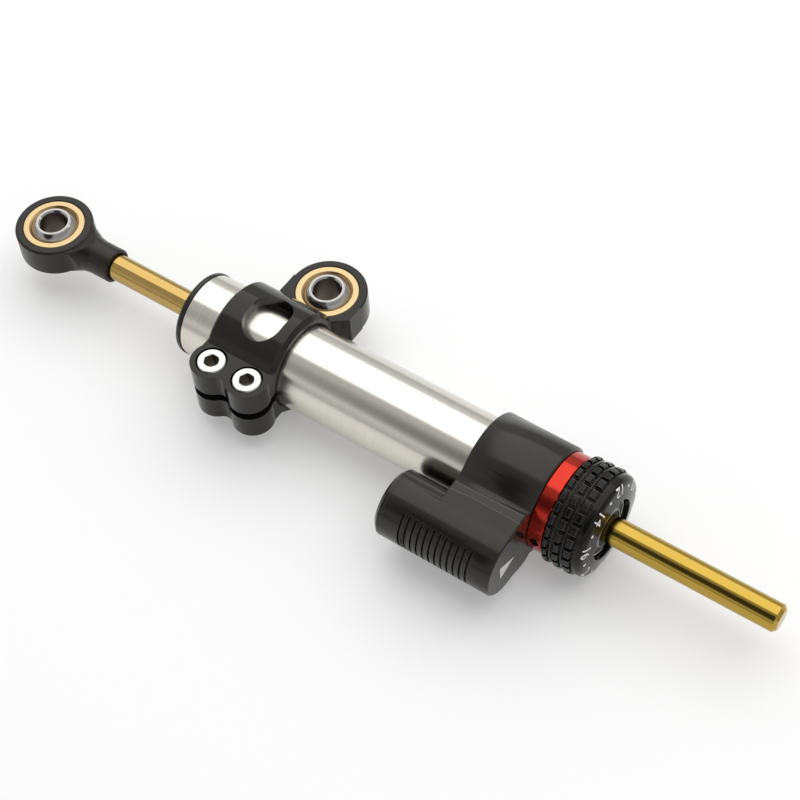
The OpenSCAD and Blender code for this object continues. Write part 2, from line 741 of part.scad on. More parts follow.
module red_collar() {
    color([0.8, 0.08, 0.06]) difference() {
        chamfered_bar(head_x1, collar_x1, collar_r, 0.2, 0.3);
        bar(head_x1 - 1, collar_x1 + 1, sleeve_r + 0.1);
        bar(head_x1 - 1, head_x1 + collar_spigot_len, collar_spigot_r + seat_fit);
        translate([detent_bore_x0, 0, ball_track_r]) rotate([0, 90, 0])
            cylinder(r = detent_r + 0.05, h = collar_x1 - detent_bore_x0 + 1);
        translate([set_screw_x, -sleeve_r + 2, 0]) rotate([90, 0, 0])
            cylinder(d = set_screw_d + 2 * seat_fit, h = collar_r);
    }
}

module collar_set_screw() {
    color([0.55, 0.55, 0.55]) translate([set_screw_x, 0, 0]) rotate([90, 0, 0]) difference() {
        union() {
            translate([0, 0, key_tip_r]) cylinder(r = key_r, h = 2);
            translate([0, 0, sleeve_r + 0.6]) cylinder(d = set_screw_d, h = collar_r - sleeve_r - 1.1);
        }
        translate([0, 0, collar_r - 2]) cylinder(d = 1.5 / cos(30), h = 3, $fn = 6);
    }
}

module detent_ball() {
    color([0.75, 0.76, 0.78]) translate([detent_x, 0, ball_track_r]) sphere(r = detent_r, $fn = 48);
}

// Wire coil about the X axis: one unbroken tube of triangles
module coil(x0, x1, r, wire, turns) {
    sides = 6;
    steps = turns * 12;
    points = [for (i = [0:steps], j = [0:sides - 1])
        let (turn = 360 * turns * i / steps, side = 360 * j / sides, out = r + wire / 2 * cos(side))
        [x0 + wire / 2 + (x1 - x0 - wire) * i / steps + wire / 2 * sin(side),
            out * cos(turn), out * sin(turn)]];
    walls = [for (i = [0:steps - 1], j = [0:sides - 1], half = [0:1])
        let (a = i * sides + j, b = i * sides + (j + 1) % sides)
        half == 0 ? [a, a + sides, b] : [b, a + sides, b + sides]];
    ends = [for (j = [1:sides - 2], end = [0:1])
        end == 0 ? [0, j, j + 1] : [steps * sides, steps * sides + j + 1, steps * sides + j]];
    polyhedron(points, concat(walls, ends));
}

module detent_spring() {
    seat_x = detent_x - sqrt(pow(detent_r, 2) - pow(spring_r, 2));
    color([0.6, 0.6, 0.6]) translate([0, 0, ball_track_r])
        coil(detent_bore_x0 + click_travel + 0.05, seat_x - 0.2, spring_r, spring_wire, 6);
}

module reservoir_cap() {
    plug_r = reservoir_bore_r - seat_fit;
    color([0.1, 0.1, 0.1]) translate([0, -reservoir_reach, 0]) difference() {
        union() {
            chamfered_bar(reservoir_x0, reservoir_x1, reservoir_r, reservoir_cap_chamfer, 0.15);
            chamfered_bar(reservoir_x0 + 1, reservoir_x1 + reservoir_plug_len, plug_r, 0, 0.3);
        }
        translate([reservoir_ring_x, 0, 0])
            ring(-groove_half, groove_half, reservoir_bore_r - ring_section, reservoir_bore_r + 1);
        for (side = [-1, 1]) translate([reservoir_x0 - 1, side * reservoir_r / 2, 0])
            rotate([0, 90, 0]) cylinder(d = pin_hole_d, h = 1 + pin_hole_depth);
    }
}

module reservoir_cap_o_ring() {
    color([0.05, 0.05, 0.05]) translate([0, -reservoir_reach, 0])
        o_ring(reservoir_ring_x, reservoir_bore_r - ring_section);
}

module reservoir_piston() {
    float_r = reservoir_bore_r - run_fit;
    color([0.65, 0.65, 0.67]) translate([float_x0, -reservoir_reach, 0]) difference() {
        chamfered_bar(0, float_w, float_r, 0.4, 0.4);
        bar(-1, float_w / 2 - 1.2, float_r - 2.4);
        translate([float_w / 2, 0, 0])
            ring(-groove_half, groove_half, float_r - ring_section, float_r + 1);
    }
}

module reservoir_piston_o_ring() {
    color([0.05, 0.05, 0.05]) translate([0, -reservoir_reach, 0])
        o_ring(float_x0 + float_w / 2, reservoir_bore_r - run_fit - ring_section);
}

// The plain rib in front of a knurled row starts here; the last one leads into the flange
function rib_x0(i) = dial_x0 + 0.1 + i * (knurl_pitch + knurl_growth) + knurl_w + rib_gap;

// Dial without its teeth: ribs, a flange with a rounded front, a recess and a web
module dial_blank() {
    flange_x0 = rib_x0(2);
    round_x = dial_x1 - 0.65 - face_round;
    recess_r = recess_d / 2;
    turned(concat(
        [[sleeve_r + run_fit, dial_x0], [core_r, dial_x0], [core_r, flange_x0],
         [flange_r - 0.15, flange_x0], [flange_r, flange_x0 + 0.15]],
        arc([flange_r - face_round, round_x], face_round, 0, 81, 10),
        arc([recess_r + 0.3, dial_x1 - 0.3], 0.3, 81, 180, 4),
        [[recess_r, dial_web_x1], [hub_r + run_fit, dial_web_x1],
         [hub_r + run_fit, dial_web_x0], [sleeve_r + run_fit, dial_web_x0]]
    ));
    for (i = [0:1]) chamfered_ring(rib_x0(i), rib_x0(i) + rib_w, core_r - 0.5, flange_r, 0.15);
}

// Ring whose outer edges are chamfered
module chamfered_ring(x0, x1, r_in, r_out, c) {
    turned([[r_in, x0], [r_out - c, x0], [r_out, x0 + c], [r_out, x1 - c], [r_out - c, x1], [r_in, x1]]);
}

// One knurled row of separate teeth
module knurl_row(i) {
    x1 = rib_x0(i) - rib_gap;
    x0 = x1 - knurl_w - i * knurl_growth;
    difference() {
        chamfered_ring(x0, x1, core_r - 0.5, dial_d / 2, 0.35);
        for (tooth = [0:knurl_teeth - 1]) rotate([tooth * 360 / knurl_teeth, 0, 0])
            translate([x0 - 1, -notch_w / 2, core_r - 1])
                cube([x1 - x0 + 2, notch_w, knurl_h + 2]);
    }
}

module adjuster_dial() {
    color([0.08, 0.08, 0.08]) difference() {
        union() {
            dial_blank();
            for (i = [0:knurl_rows - 1]) knurl_row(i);
        }
        for (i = [0:clicks - 1]) rotate([i * 360 / clicks, 0, 0])
            translate([dial_x0 + click_travel - detent_r, 0, ball_track_r]) sphere(r = detent_r, $fn = 48);
    }
}

module dial_circlip() {
    color([0.8, 0.8, 0.8]) circlip(circlip_x0, circlip_seat_r, circlip_r, 3);
}

module metering_sleeve() {
    slot_half = key_r + 0.1;
    slot_x0 = set_screw_x - slot_half - sleeve_travel;
    color([0.6, 0.6, 0.62]) difference() {
        chamfered_bar(sleeve_x0, sleeve_x1, sleeve_r, 0.3, 0.3);
        bar(sleeve_x0 - 1, sleeve_x1 + 1, hub_r + run_fit);
        translate([sleeve_ring_x, 0, 0])
            ring(-groove_half, groove_half, sleeve_r - ring_section, sleeve_r + 1);
        translate([port_x, 0, 0]) rotate([90, 0, 0]) cylinder(r = port_r, h = sleeve_r + 1);
        translate([slot_x0, -sleeve_r - 1, -slot_half])
            cube([sleeve_travel + 2 * slot_half, 1 + sleeve_r - key_tip_r + 0.2, 2 * slot_half]);
    }
}

module sleeve_o_ring() {
    color([0.05, 0.05, 0.05]) o_ring(sleeve_ring_x, sleeve_r - ring_section);
}

tube();
front_cap();
front_bush();
front_rod_seal();
front_wiper();
front_cap_o_ring();
rear_head();
head_o_ring();
rod_hub();
rear_bush();
rear_rod_seal();
rear_wiper();
red_collar();
collar_set_screw();
detent_ball();
detent_spring();
reservoir_cap();
reservoir_cap_o_ring();
reservoir_piston();
reservoir_piston_o_ring();
adjuster_dial();
dial_circlip();
metering_sleeve();
sleeve_o_ring();
clamp_body();
clamp_screws();
clamp_race();
clamp_ball();
piston();
piston_band();
piston_band_o_ring();
piston_rod_o_ring();
piston_rod();
piston_circlips();
rod_end_housing();
rod_end_race();
rod_end_ball();
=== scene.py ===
import math
import bmesh
import bpy
from mathutils import Matrix, Vector
from mathutils.bvhtree import BVHTree


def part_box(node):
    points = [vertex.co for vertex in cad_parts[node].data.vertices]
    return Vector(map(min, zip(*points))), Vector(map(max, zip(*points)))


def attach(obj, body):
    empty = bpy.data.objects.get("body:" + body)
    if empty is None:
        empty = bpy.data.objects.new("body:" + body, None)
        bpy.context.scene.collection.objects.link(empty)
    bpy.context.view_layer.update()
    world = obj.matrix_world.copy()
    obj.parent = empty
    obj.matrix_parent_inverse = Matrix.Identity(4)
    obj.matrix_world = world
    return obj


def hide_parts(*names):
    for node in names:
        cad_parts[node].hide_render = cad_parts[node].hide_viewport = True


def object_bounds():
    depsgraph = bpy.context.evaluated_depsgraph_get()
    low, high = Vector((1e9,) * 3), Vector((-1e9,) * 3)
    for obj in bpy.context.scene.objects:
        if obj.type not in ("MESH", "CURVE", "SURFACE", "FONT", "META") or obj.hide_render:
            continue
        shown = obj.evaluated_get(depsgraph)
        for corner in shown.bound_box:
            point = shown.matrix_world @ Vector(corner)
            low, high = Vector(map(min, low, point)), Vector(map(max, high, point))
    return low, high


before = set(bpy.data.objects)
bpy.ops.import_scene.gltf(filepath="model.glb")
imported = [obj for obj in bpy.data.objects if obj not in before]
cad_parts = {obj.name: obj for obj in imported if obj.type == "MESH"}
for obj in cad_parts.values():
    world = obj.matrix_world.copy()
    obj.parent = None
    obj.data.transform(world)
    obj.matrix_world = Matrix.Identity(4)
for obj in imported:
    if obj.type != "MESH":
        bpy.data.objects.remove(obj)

cad_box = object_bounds()

# Camera
# It looks down on the damper from the reservoir's side, from about half a metre.
# The long lens is turned a little about its own axis, so that the free rod end dips.
CAMERA_AZIMUTH = math.radians(38.69)
CAMERA_ELEVATION = math.radians(53.73)
CAMERA_ROLL = math.radians(5.02)
CAMERA_DISTANCE = 0.51564
CAMERA_AIM = Vector((0.12274, 0.00479, 0))
SENSOR_MM = 36
LENS_MM = 83.25

backward = Vector((
    math.sin(CAMERA_AZIMUTH) * math.cos(CAMERA_ELEVATION),
    -math.cos(CAMERA_AZIMUTH) * math.cos(CAMERA_ELEVATION),
    math.sin(CAMERA_ELEVATION),
))
level_right = (-backward).cross(Vector((0, 0, 1))).normalized()
level_down = (-backward).cross(level_right)
right = level_right * math.cos(CAMERA_ROLL) + level_down * math.sin(CAMERA_ROLL)
up = level_right * math.sin(CAMERA_ROLL) - level_down * math.cos(CAMERA_ROLL)

camera_data = bpy.data.cameras.new("camera")
camera_data.sensor_width = SENSOR_MM
camera_data.lens = LENS_MM
camera_data.clip_start = 0.01
camera_data.clip_end = 100
camera = bpy.data.objects.new("camera", camera_data)
bpy.context.scene.collection.objects.link(camera)
turn = Matrix((right, up, backward)).transposed().to_4x4()
camera.matrix_world = Matrix.Translation(CAMERA_AIM + backward * CAMERA_DISTANCE) @ turn
bpy.context.scene.camera = camera
bpy.context.scene.view_settings.view_transform = "Standard"

# Studio
# A large softbox hangs along the damper over a plain white table, leaning away from the
# reservoir. The room is pale, and a black card by the camera draws a dark stripe on metal.
TABLE_COLOUR = (0.96, 0.96, 0.96)
TABLE_HALF = 30
TABLE_ROUGH = 0.55
TABLE_GRAIN = 90
TABLE_GLOW = 0.25
SOFTBOX_DISTANCE = 1.1
SOFTBOX_TILT = math.radians(24)
SOFTBOX_LENGTH = 1.95
SOFTBOX_SHIFT = -0.12
SOFTBOX_WIDTH = 1.54
SOFTBOX_WATTS = 11.7
ROOM_LIGHT = ((0, 0.48), (0.1, 0.54), (0.35, 0.8), (0.5, 0.6), (1, 0.56))
CARD_WAY = Vector((-0.03, -0.74, 0.67)).normalized()
CARD_EDGE = math.cos(math.radians(28))
CARD_CORE = math.cos(math.radians(12))
CARD_LIGHT = 0.06


def node_in(tree, kind, sockets=None, **settings):
    """Adds a shader node. A socket gets a value, or a link from another node's output."""
    made = tree.nodes.new(kind)
    for name, value in settings.items():
        setattr(made, name, value)
    for name, value in (sockets or {}).items():
        if isinstance(value, bpy.types.NodeSocket):
            tree.links.new(value, made.inputs[name])
        else:
            made.inputs[name].default_value = value
    return made


def reckon(tree, operation, *values):
    """One step of arithmetic on numbers or on other nodes' outputs."""
    step = node_in(tree, "ShaderNodeMath", dict(enumerate(values)), operation=operation)
    return step.outputs["Value"]


def mixed(tree, share, first, second):
    """A colour between two colours, each a colour's numbers or another node's output."""
    first, second = (
        colour if isinstance(colour, bpy.types.NodeSocket) else (*colour, 1)
        for colour in (first, second)
    )
    mix = node_in(tree, "ShaderNodeMix", {0: share, 6: first, 7: second}, data_type="RGBA")
    return mix.outputs[2]


def place_of(tree):
    """The point's own place on the part, in metres."""
    return node_in(tree, "ShaderNodeTexCoord").outputs["Object"]


def raised(tree, height, depth, strength, normal=None):
    """Lifts the surface where height is high, by depth in metres."""
    sockets = {"Height": height, "Distance": depth, "Strength": strength}
    if normal:
        sockets["Normal"] = normal
    return node_in(tree, "ShaderNodeBump", sockets).outputs["Normal"]


def bare_finish(name, colour, metal, rough):
    """A new material with a single shader: returns the material, its tree and the shader."""
    material = bpy.data.materials.new(name)
    material.use_nodes = True
    shader = material.node_tree.nodes["Principled BSDF"]
    shader.inputs["Base Color"].default_value = (*colour, 1)
    shader.inputs["Metallic"].default_value = metal
    shader.inputs["Roughness"].default_value = rough
    return material, material.node_tree, shader


centre = (cad_box[0] + cad_box[1]) / 2
floor_mesh = bpy.data.meshes.new("table_top")
bm = bmesh.new()
bmesh.ops.create_grid(bm, x_segments=1, y_segments=1, size=TABLE_HALF)
bmesh.ops.translate(bm, verts=bm.verts, vec=(centre.x, centre.y, cad_box[0].z))
bm.to_mesh(floor_mesh)
bm.free()
table_top = bpy.data.objects.new("table_top", floor_mesh)
bpy.context.scene.collection.objects.link(table_top)
table_finish, tree, shader = bare_finish("white_table", TABLE_COLOUR, 0, TABLE_ROUGH)
table_grain = node_in(tree, "ShaderNodeTexNoise", {
    "Vector": place_of(tree), "Scale": TABLE_GRAIN, "Detail": 4,
})
tree.links.new(raised(tree, table_grain.outputs["Fac"], depth=0.0005, strength=0.05),
               shader.inputs["Normal"])
rays = node_in(tree, "ShaderNodeLightPath").outputs
seen = reckon(tree, "ADD", rays["Is Camera Ray"], rays["Is Glossy Ray"])
seen = reckon(tree, "ADD", seen, rays["Is Transmission Ray"])
table_light = node_in(tree, "ShaderNodeMixShader", {
    0: reckon(tree, "MULTIPLY", seen, TABLE_GLOW),
    1: shader.outputs["BSDF"],
    2: node_in(tree, "ShaderNodeEmission").outputs["Emission"],
})
tree.links.new(table_light.outputs["Shader"], tree.nodes["Material Output"].inputs["Surface"])
floor_mesh.materials.append(table_finish)

softbox_data = bpy.data.lights.new("softbox", "AREA")
softbox_data.shape = "RECTANGLE"
softbox_data.size = SOFTBOX_LENGTH
softbox_data.size_y = SOFTBOX_WIDTH
softbox_data.energy = SOFTBOX_WATTS
softbox = bpy.data.objects.new("softbox", softbox_data)
bpy.context.scene.collection.objects.link(softbox)
softbox.matrix_world = (
    Matrix.Translation(centre) @ Matrix.Rotation(-SOFTBOX_TILT, 4, "X")
    @ Matrix.Translation((SOFTBOX_SHIFT, 0, SOFTBOX_DISTANCE))
)

room = bpy.data.worlds.new("room")
room.use_nodes = True
bpy.context.scene.world = room
tree = room.node_tree
way = node_in(tree, "ShaderNodeTexCoord").outputs["Generated"]
room_light = node_in(tree, "ShaderNodeValToRGB", {
    "Fac": node_in(tree, "ShaderNodeSeparateXYZ", {"Vector": way}).outputs["Z"],
})
steps = room_light.color_ramp.elements
steps.remove(steps[1])
for height, light in ROOM_LIGHT:
    step = steps[0] if height == 0 else steps.new(height)
    step.color = (light, light, light, 1)
towards = node_in(tree, "ShaderNodeVectorMath", {
    0: way, 1: CARD_WAY,
}, operation="DOT_PRODUCT")
dark_share = node_in(tree, "ShaderNodeMapRange", {
    "Value": towards.outputs["Value"],
    "From Min": CARD_EDGE, "From Max": CARD_CORE,
}, interpolation_type="SMOOTHSTEP").outputs["Result"]
tree.links.new(mixed(tree, dark_share, room_light.outputs["Color"], (CARD_LIGHT,) * 3),
               tree.nodes["Background"].inputs["Color"])

# Tube
# Drawn stainless steel tube, polished with a belt while it turns, so that fine lines run
# round it and smear every reflection along its length.
STEEL = (0.73, 0.705, 0.645)
STEEL_SHADE = (0.65, 0.62, 0.56)
BRUSH_LINE = (0.00012, 0.045, 0.045)
BRUSH_BAND = (0.0004, 0.02, 0.02)
TUBE_ROUGH = (0.2, 0.245)
TUBE_SMEAR = 0.7


def dress(finish, *names):
    """Gives the finish to these CAD parts."""
    for name in names:
        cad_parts[name].material_slots[0].material = finish


def grain(tree, size, detail=2.0):
    """Noise whose spots have this size in metres along X, Y and Z: long spots are lines."""
    spread = node_in(tree, "ShaderNodeMapping", {
        "Vector": place_of(tree), "Scale": tuple(1 / s for s in size),
    })
    noise = node_in(tree, "ShaderNodeTexNoise", {
        "Vector": spread.outputs["Vector"], "Scale": 1, "Detail": detail, "Roughness": 0.6,
    })
    return noise.outputs["Fac"]


def spread_over(tree, value, low, high, start=0.3, end=0.7):
    """Turns a value that runs from start to end into one that runs from low to high."""
    return node_in(tree, "ShaderNodeMapRange", {
        "Value": value, "From Min": start, "From Max": end, "To Min": low, "To Max": high,
    }).outputs["Result"]


def turned_about_x(tree, shader, smear):
    """Smears reflections along X, as lathe or belt lines round the X axis do."""
    shader.inputs["Anisotropic"].default_value = smear
    shader.inputs["Anisotropic Rotation"].default_value = 0.25
    way_round = node_in(tree, "ShaderNodeTangent", direction_type="RADIAL", axis="X")
    tree.links.new(way_round.outputs["Tangent"], shader.inputs["Tangent"])


tube_finish, tree, shader = bare_finish("brushed_tube", STEEL, 1, 0.25)
fine = grain(tree, BRUSH_LINE)
tree.links.new(mixed(tree, spread_over(tree, fine, 0, 1), STEEL_SHADE, STEEL),
               shader.inputs["Base Color"])
tree.links.new(spread_over(tree, grain(tree, BRUSH_BAND), *TUBE_ROUGH),
               shader.inputs["Roughness"])
tree.links.new(raised(tree, fine, depth=0.00001, strength=0.1), shader.inputs["Normal"])
turned_about_x(tree, shader, TUBE_SMEAR)
dress(tube_finish, "tube")

# Front cap and reservoir cap
# Both are turned from aluminium bar, lightly blasted and anodised black. One closes the tube
# and the other the reservoir, where it leaves a fine seam.
BLACK = (0.0085, 0.008, 0.007)
BLACK_EDGE_WEAR_AND_HIGHLIGHT = (0.06, 0.057, 0.052)
WARM_SHINE = (1, 0.96, 0.88, 1)
BLAST_SPOT = 0.0003
LATHE_LINE = (0.0002, 0.04, 0.04)
EDGE_BREAK = 0.0002
BLACK_UNEVEN = (0.88, 1.12)
TURNED_LOOK = {"line_size": LATHE_LINE, "rough": 0.23, "shine": 0.42, "smear": 0.6}


def rounded_edges(tree, radius):
    """The normal of edges that are broken by this radius."""
    return node_in(tree, "ShaderNodeBevel", {"Radius": radius}, samples=6).outputs["Normal"]


def edge_share(tree, soft_normal):
    """1 on edges and 0 on open faces."""
    facing = node_in(tree, "ShaderNodeVectorMath", {
        0: soft_normal, 1: node_in(tree, "ShaderNodeNewGeometry").outputs["Normal"],
    }, operation="DOT_PRODUCT")
    return spread_over(tree, facing.outputs["Value"], 0, 1, start=0.995, end=0.9)


def black_anodised(name, line_size, rough, shine, smear=0, black=BLACK, edge_wear_and_highlight=BLACK_EDGE_WEAR_AND_HIGHLIGHT):
    """Black anodised aluminium with faint tool lines; its edges are painted slightly paler,
    partly as wear and partly as a painted highlight.
    """
    finish, tree, shader = bare_finish(name, black, 0, rough)
    edge_normal = rounded_edges(tree, EDGE_BREAK)
    blast = grain(tree, (BLAST_SPOT,) * 3)
    lines = grain(tree, line_size)
    # Painted highlight: the edges are painted paler, partly as wear.
    tree.links.new(mixed(tree, edge_share(tree, edge_normal), black, edge_wear_and_highlight),
                   shader.inputs["Base Color"])
    tree.links.new(spread_over(tree, lines, *(share * rough for share in BLACK_UNEVEN)),
                   shader.inputs["Roughness"])
    lined = raised(tree, lines, depth=0.000006, strength=0.25, normal=edge_normal)
    tree.links.new(raised(tree, blast, depth=0.000005, strength=0.15, normal=lined),
                   shader.inputs["Normal"])
    shader.inputs["Specular IOR Level"].default_value = shine
    shader.inputs["Specular Tint"].default_value = WARM_SHINE
    if smear:
        turned_about_x(tree, shader, smear)
    return finish


dress(black_anodised("turned_black", **TURNED_LOOK), "front_cap", "reservoir_cap")

# Rear head
# Milled in one piece with the reservoir. The barrel runs out flat into a shallow valley, whose
# two lines the cutter leaves are painted pale as a highlight, and the valley rises to the round
# of the reservoir.
BARREL_RADIUS = 0.01535
BARREL_BORE = 0.0132
FILLET_RADIUS = 0.006
WEB_HEIGHT = 0.0098
VALLEY = ((-0.00836, 0.01287), (-0.0148, 0.0087), (-0.0173, 0.0088), (-0.0218, 0.0098))
SKIN = 0.0009
SPIGOT_LENGTH = 0.014
FRONT_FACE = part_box("rear_head")[0].x + SPIGOT_LENGTH
FRONT_ROOM = 0.0001
FRONT_EDGE = 0.0006
FRONT_STEP = 0.0008
FRONT_END = -0.0237
WEB_TOP = 0.0075
LINE_HALF = 0.00008
VALLEY_LINE_HIGHLIGHT = (0.07, 0.067, 0.06)
MERGE = 0.000001


def solid_height(y):
    """Height of the CAD head's skin over the line at y, between barrel and reservoir."""
    both_radii = BARREL_RADIUS + FILLET_RADIUS
    fillet_height = WEB_HEIGHT + FILLET_RADIUS
    fillet_y = -math.sqrt(both_radii ** 2 - fillet_height ** 2)
    if y < fillet_y:
        return WEB_HEIGHT
    if y < fillet_y * BARREL_RADIUS / both_radii:
        return fillet_height - math.sqrt(FILLET_RADIUS ** 2 - (y - fillet_y) ** 2)
    return math.sqrt(BARREL_RADIUS ** 2 - y ** 2)


def valley_height(y):
    """Height of the valley's section at y."""
    for (y0, z0), (y1, z1) in zip(VALLEY, VALLEY[1:]):
        if y0 >= y >= y1:
            return z0 + (z1 - z0) * (y - y0) / (y1 - y0)


def cut_across_y(bm, y):
    """Cuts new edges where the faces cross the plane at y."""
    bmesh.ops.bisect_plane(
        bm, geom=bm.verts[:] + bm.edges[:] + bm.faces[:], plane_co=(0, y, 0), plane_no=(0, 1, 0)
    )


def make_piece(name, bm, finish):
    """Turns a bmesh into an object of the scene, with one finish."""
    bmesh.ops.recalc_face_normals(bm, faces=bm.faces)
    mesh = bpy.data.meshes.new(name)
    bm.to_mesh(mesh)
    bm.free()
    mesh.materials.append(finish)
    piece = bpy.data.objects.new(name, mesh)
    bpy.context.scene.collection.objects.link(piece)
    return piece


bm = bmesh.new()
bm.from_mesh(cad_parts["rear_head"].data)
bmesh.ops.remove_doubles(bm, verts=bm.verts, dist=MERGE)
for y, _ in VALLEY:
    cut_across_y(bm, y)
for vert in bm.verts:
    x, y, z = vert.co
    if x < FRONT_FACE - FRONT_ROOM:
        continue
    if VALLEY[0][0] > y > VALLEY[-1][0] and abs(z) > solid_height(y) - SKIN:
        vert.co.z += math.copysign(valley_height(y) - solid_height(y), z)
    if x < FRONT_FACE + FRONT_EDGE and y > FRONT_END and math.hypot(y, z) > BARREL_BORE:
        vert.co.x -= FRONT_STEP

head_black = black_anodised("head_black", **TURNED_LOOK)
tree = head_black.node_tree
base_colour = tree.nodes["Principled BSDF"].inputs["Base Color"]
spot = node_in(tree, "ShaderNodeSeparateXYZ", {"Vector": place_of(tree)}).outputs
# Painted highlight: the valley's two lines are painted pale over the head's base colour.
on_lines = reckon(tree, "ADD", *(
    reckon(tree, "COMPARE", spot["Y"], y, LINE_HALF) for y, _ in VALLEY[1:3]
))
on_web = reckon(tree, "GREATER_THAN", reckon(tree, "ABSOLUTE", spot["Z"]), WEB_TOP)
tree.links.new(mixed(tree, reckon(tree, "MULTIPLY", on_lines, on_web),
                     base_colour.links[0].from_socket, VALLEY_LINE_HIGHLIGHT), base_colour)

head = make_piece("head_with_reservoir", bm, head_black)
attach(head, "damper_body")
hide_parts("rear_head")

# Pointer on the rear head
# A pale filled triangle on the head's flat end shows which number of the dial is set.
# It is thin paint in a shallow engraving.
POINTER_TIP = (-0.0205, -0.0008)
POINTER_BASE = ((-0.0272, 0.0022), (-0.0272, -0.0028))
FILL_DEPTH = 0.00004
FILL_ROUGH = 0.6
FILL_SPOT = 0.0003
FILL_SHADE = 0.72
PALE_FILL = (0.8, 0.8, 0.78)


def filled_mark(name, colour):
    """Matt paint pressed into an engraved mark."""
    finish, tree, shader = bare_finish(name, colour, 0, FILL_ROUGH)
    uneven = grain(tree, (FILL_SPOT,) * 3, 3)
    shade = tuple(FILL_SHADE * c for c in colour)
    tree.links.new(mixed(tree, spread_over(tree, uneven, 0, 1), shade, colour),
                   shader.inputs["Base Color"])
    return finish


def surface_of(name):
    """A CAD part's faces, for finding where a mark lies on it."""
    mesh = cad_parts[name].data
    return BVHTree.FromPolygons(
        [v.co for v in mesh.vertices], [tuple(p.vertices) for p in mesh.polygons]
    )


def press_on(bm, faces):
    """Moves a flat mark, drawn at x = 0 with its height along X, down onto the faces below."""
    for vert in bm.verts:
        height = vert.co.x
        hit = faces.ray_cast(Vector((1, vert.co.y, vert.co.z)), Vector((-1, 0, 0)))[0]
        vert.co.x = hit.x + height


bm = bmesh.new()
corners = [bm.verts.new((0, y, z)) for y, z in (POINTER_TIP, *POINTER_BASE)]
face = bm.faces.new(corners)
lifted = bmesh.ops.extrude_face_region(bm, geom=[face])["geom"]
bmesh.ops.translate(
    bm, verts=[v for v in lifted if isinstance(v, bmesh.types.BMVert)], vec=(FILL_DEPTH, 0, 0)
)
press_on(bm, surface_of("rear_head"))
pointer = make_piece("pointer", bm, filled_mark("pale_fill", PALE_FILL))
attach(pointer, "damper_body")

# Piston rod
# Ground steel rod with a gold nitride coat, which runs right through the damper. It is
# nearly a mirror, with faint grinding lines round it, and paler at the rod end.
GOLD = (0.48, 0.325, 0.105)
GOLD_DEEP = (0.46, 0.31, 0.056)
COAT_DEEPENS = (0.05, 0.19)
GRINDING_LINE = (0.00012, 0.03, 0.03)
ROD_ROUGH = (0.09, 0.14)
ROD_SMEAR = 0.7

rod_finish, tree, shader = bare_finish("gold_coat", GOLD, 1, 0.11)
ground = grain(tree, GRINDING_LINE)
along = node_in(tree, "ShaderNodeSeparateXYZ", {"Vector": place_of(tree)}).outputs["X"]
tree.links.new(mixed(tree, spread_over(tree, along, 0, 1, *COAT_DEEPENS), GOLD, GOLD_DEEP),
               shader.inputs["Base Color"])
tree.links.new(spread_over(tree, ground, *ROD_ROUGH), shader.inputs["Roughness"])
tree.links.new(
    raised(tree, ground, depth=0.000004, strength=0.2, normal=rounded_edges(tree, EDGE_BREAK)),
    shader.inputs["Normal"],
)
turned_about_x(tree, shader, ROD_SMEAR)
dress(rod_finish, "piston_rod")

# Rod end
# A forged and turned eye, anodised black. Its neck flows into the round shank that grips
# the rod.
ROUND_LINE = (0.004, 0.004, 0.0003)

dress(black_anodised("eye_black", ROUND_LINE, rough=0.3, shine=0.36), "rod_end_housing")

# Races
# Bronze-gold rings that are turned and pressed into both eyes. Each holds a steel ball, and
# the bevel inside its flat face is darker.
BRASS = (0.60, 0.46, 0.26)
BRASS_DEEP = (0.50, 0.36, 0.18)
BRASS_BEVEL = (0.42, 0.28, 0.13)
BEVEL_RADII = (0.0073, 0.0076)
TURNED_EDGE = 0.00015
TURNED_UNEVEN = (0.8, 1.25)
ABOUT_Z = (1, 1, 0)
CLAMP_EYE = sum(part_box("clamp_ball"), Vector()) / 2


def distance_from(tree, centre_point, about):
    """Distance from an axis through a point: about is 0 along the axis and 1 across it."""
    moved = node_in(tree, "ShaderNodeVectorMath", {
        0: place_of(tree), 1: tuple(centre_point),
    }, operation="SUBTRACT")
    flat = node_in(tree, "ShaderNodeVectorMath", {
        0: moved.outputs["Vector"], 1: about,
    }, operation="MULTIPLY")
    return node_in(tree, "ShaderNodeVectorMath", {
        0: flat.outputs["Vector"],
    }, operation="LENGTH").outputs["Value"]


def tool_rings(tree, centre_point, about, pitch):
    """Fine concentric lines that a lathe tool leaves, about this far apart in metres."""
    from_axis = distance_from(tree, centre_point, about)
    return node_in(tree, "ShaderNodeTexNoise", {
        "W": reckon(tree, "MULTIPLY", from_axis, 1 / pitch), "Scale": 1, "Detail": 2,
    }, noise_dimensions="1D").outputs["Fac"]


def turned_metal(name, bright, deep, centre_point, about, pitch, rough, inner=None):
    """Bare metal with the fine rings of a lathe tool about an axis. Inner gives the colour and
    the roughness nearer the axis than one radius, which fade out at a second radius."""
    finish, tree, shader = bare_finish(name, bright, 1, rough)
    rings = tool_rings(tree, centre_point, about, pitch)
    colour = mixed(tree, spread_over(tree, rings, 0, 1), deep, bright)
    roughness = spread_over(tree, rings, *(share * rough for share in TURNED_UNEVEN))
    if inner:
        inner_colour, inner_rough, (start, end) = inner
        from_axis = distance_from(tree, centre_point, about)
        outside = spread_over(tree, from_axis, 0, 1, start, end)
        colour = mixed(tree, outside, inner_colour, colour)
        roughness = node_in(tree, "ShaderNodeMix", {
            "Factor": outside, "A": inner_rough, "B": roughness,
        }).outputs["Result"]
    tree.links.new(colour, shader.inputs["Base Color"])
    tree.links.new(roughness, shader.inputs["Roughness"])
    edges = rounded_edges(tree, TURNED_EDGE)
    tree.links.new(raised(tree, rings, depth=0.00001, strength=0.3, normal=edges),
                   shader.inputs["Normal"])
    return finish


for name, middle in (("rod_end_race", Vector()), ("clamp_race", CLAMP_EYE)):
    dress(turned_metal(
        name + "_gold", BRASS, BRASS_DEEP, middle, ABOUT_Z, pitch=0.0002, rough=0.24,
        inner=(BRASS_BEVEL, 0.3, BEVEL_RADII),
    ), name)
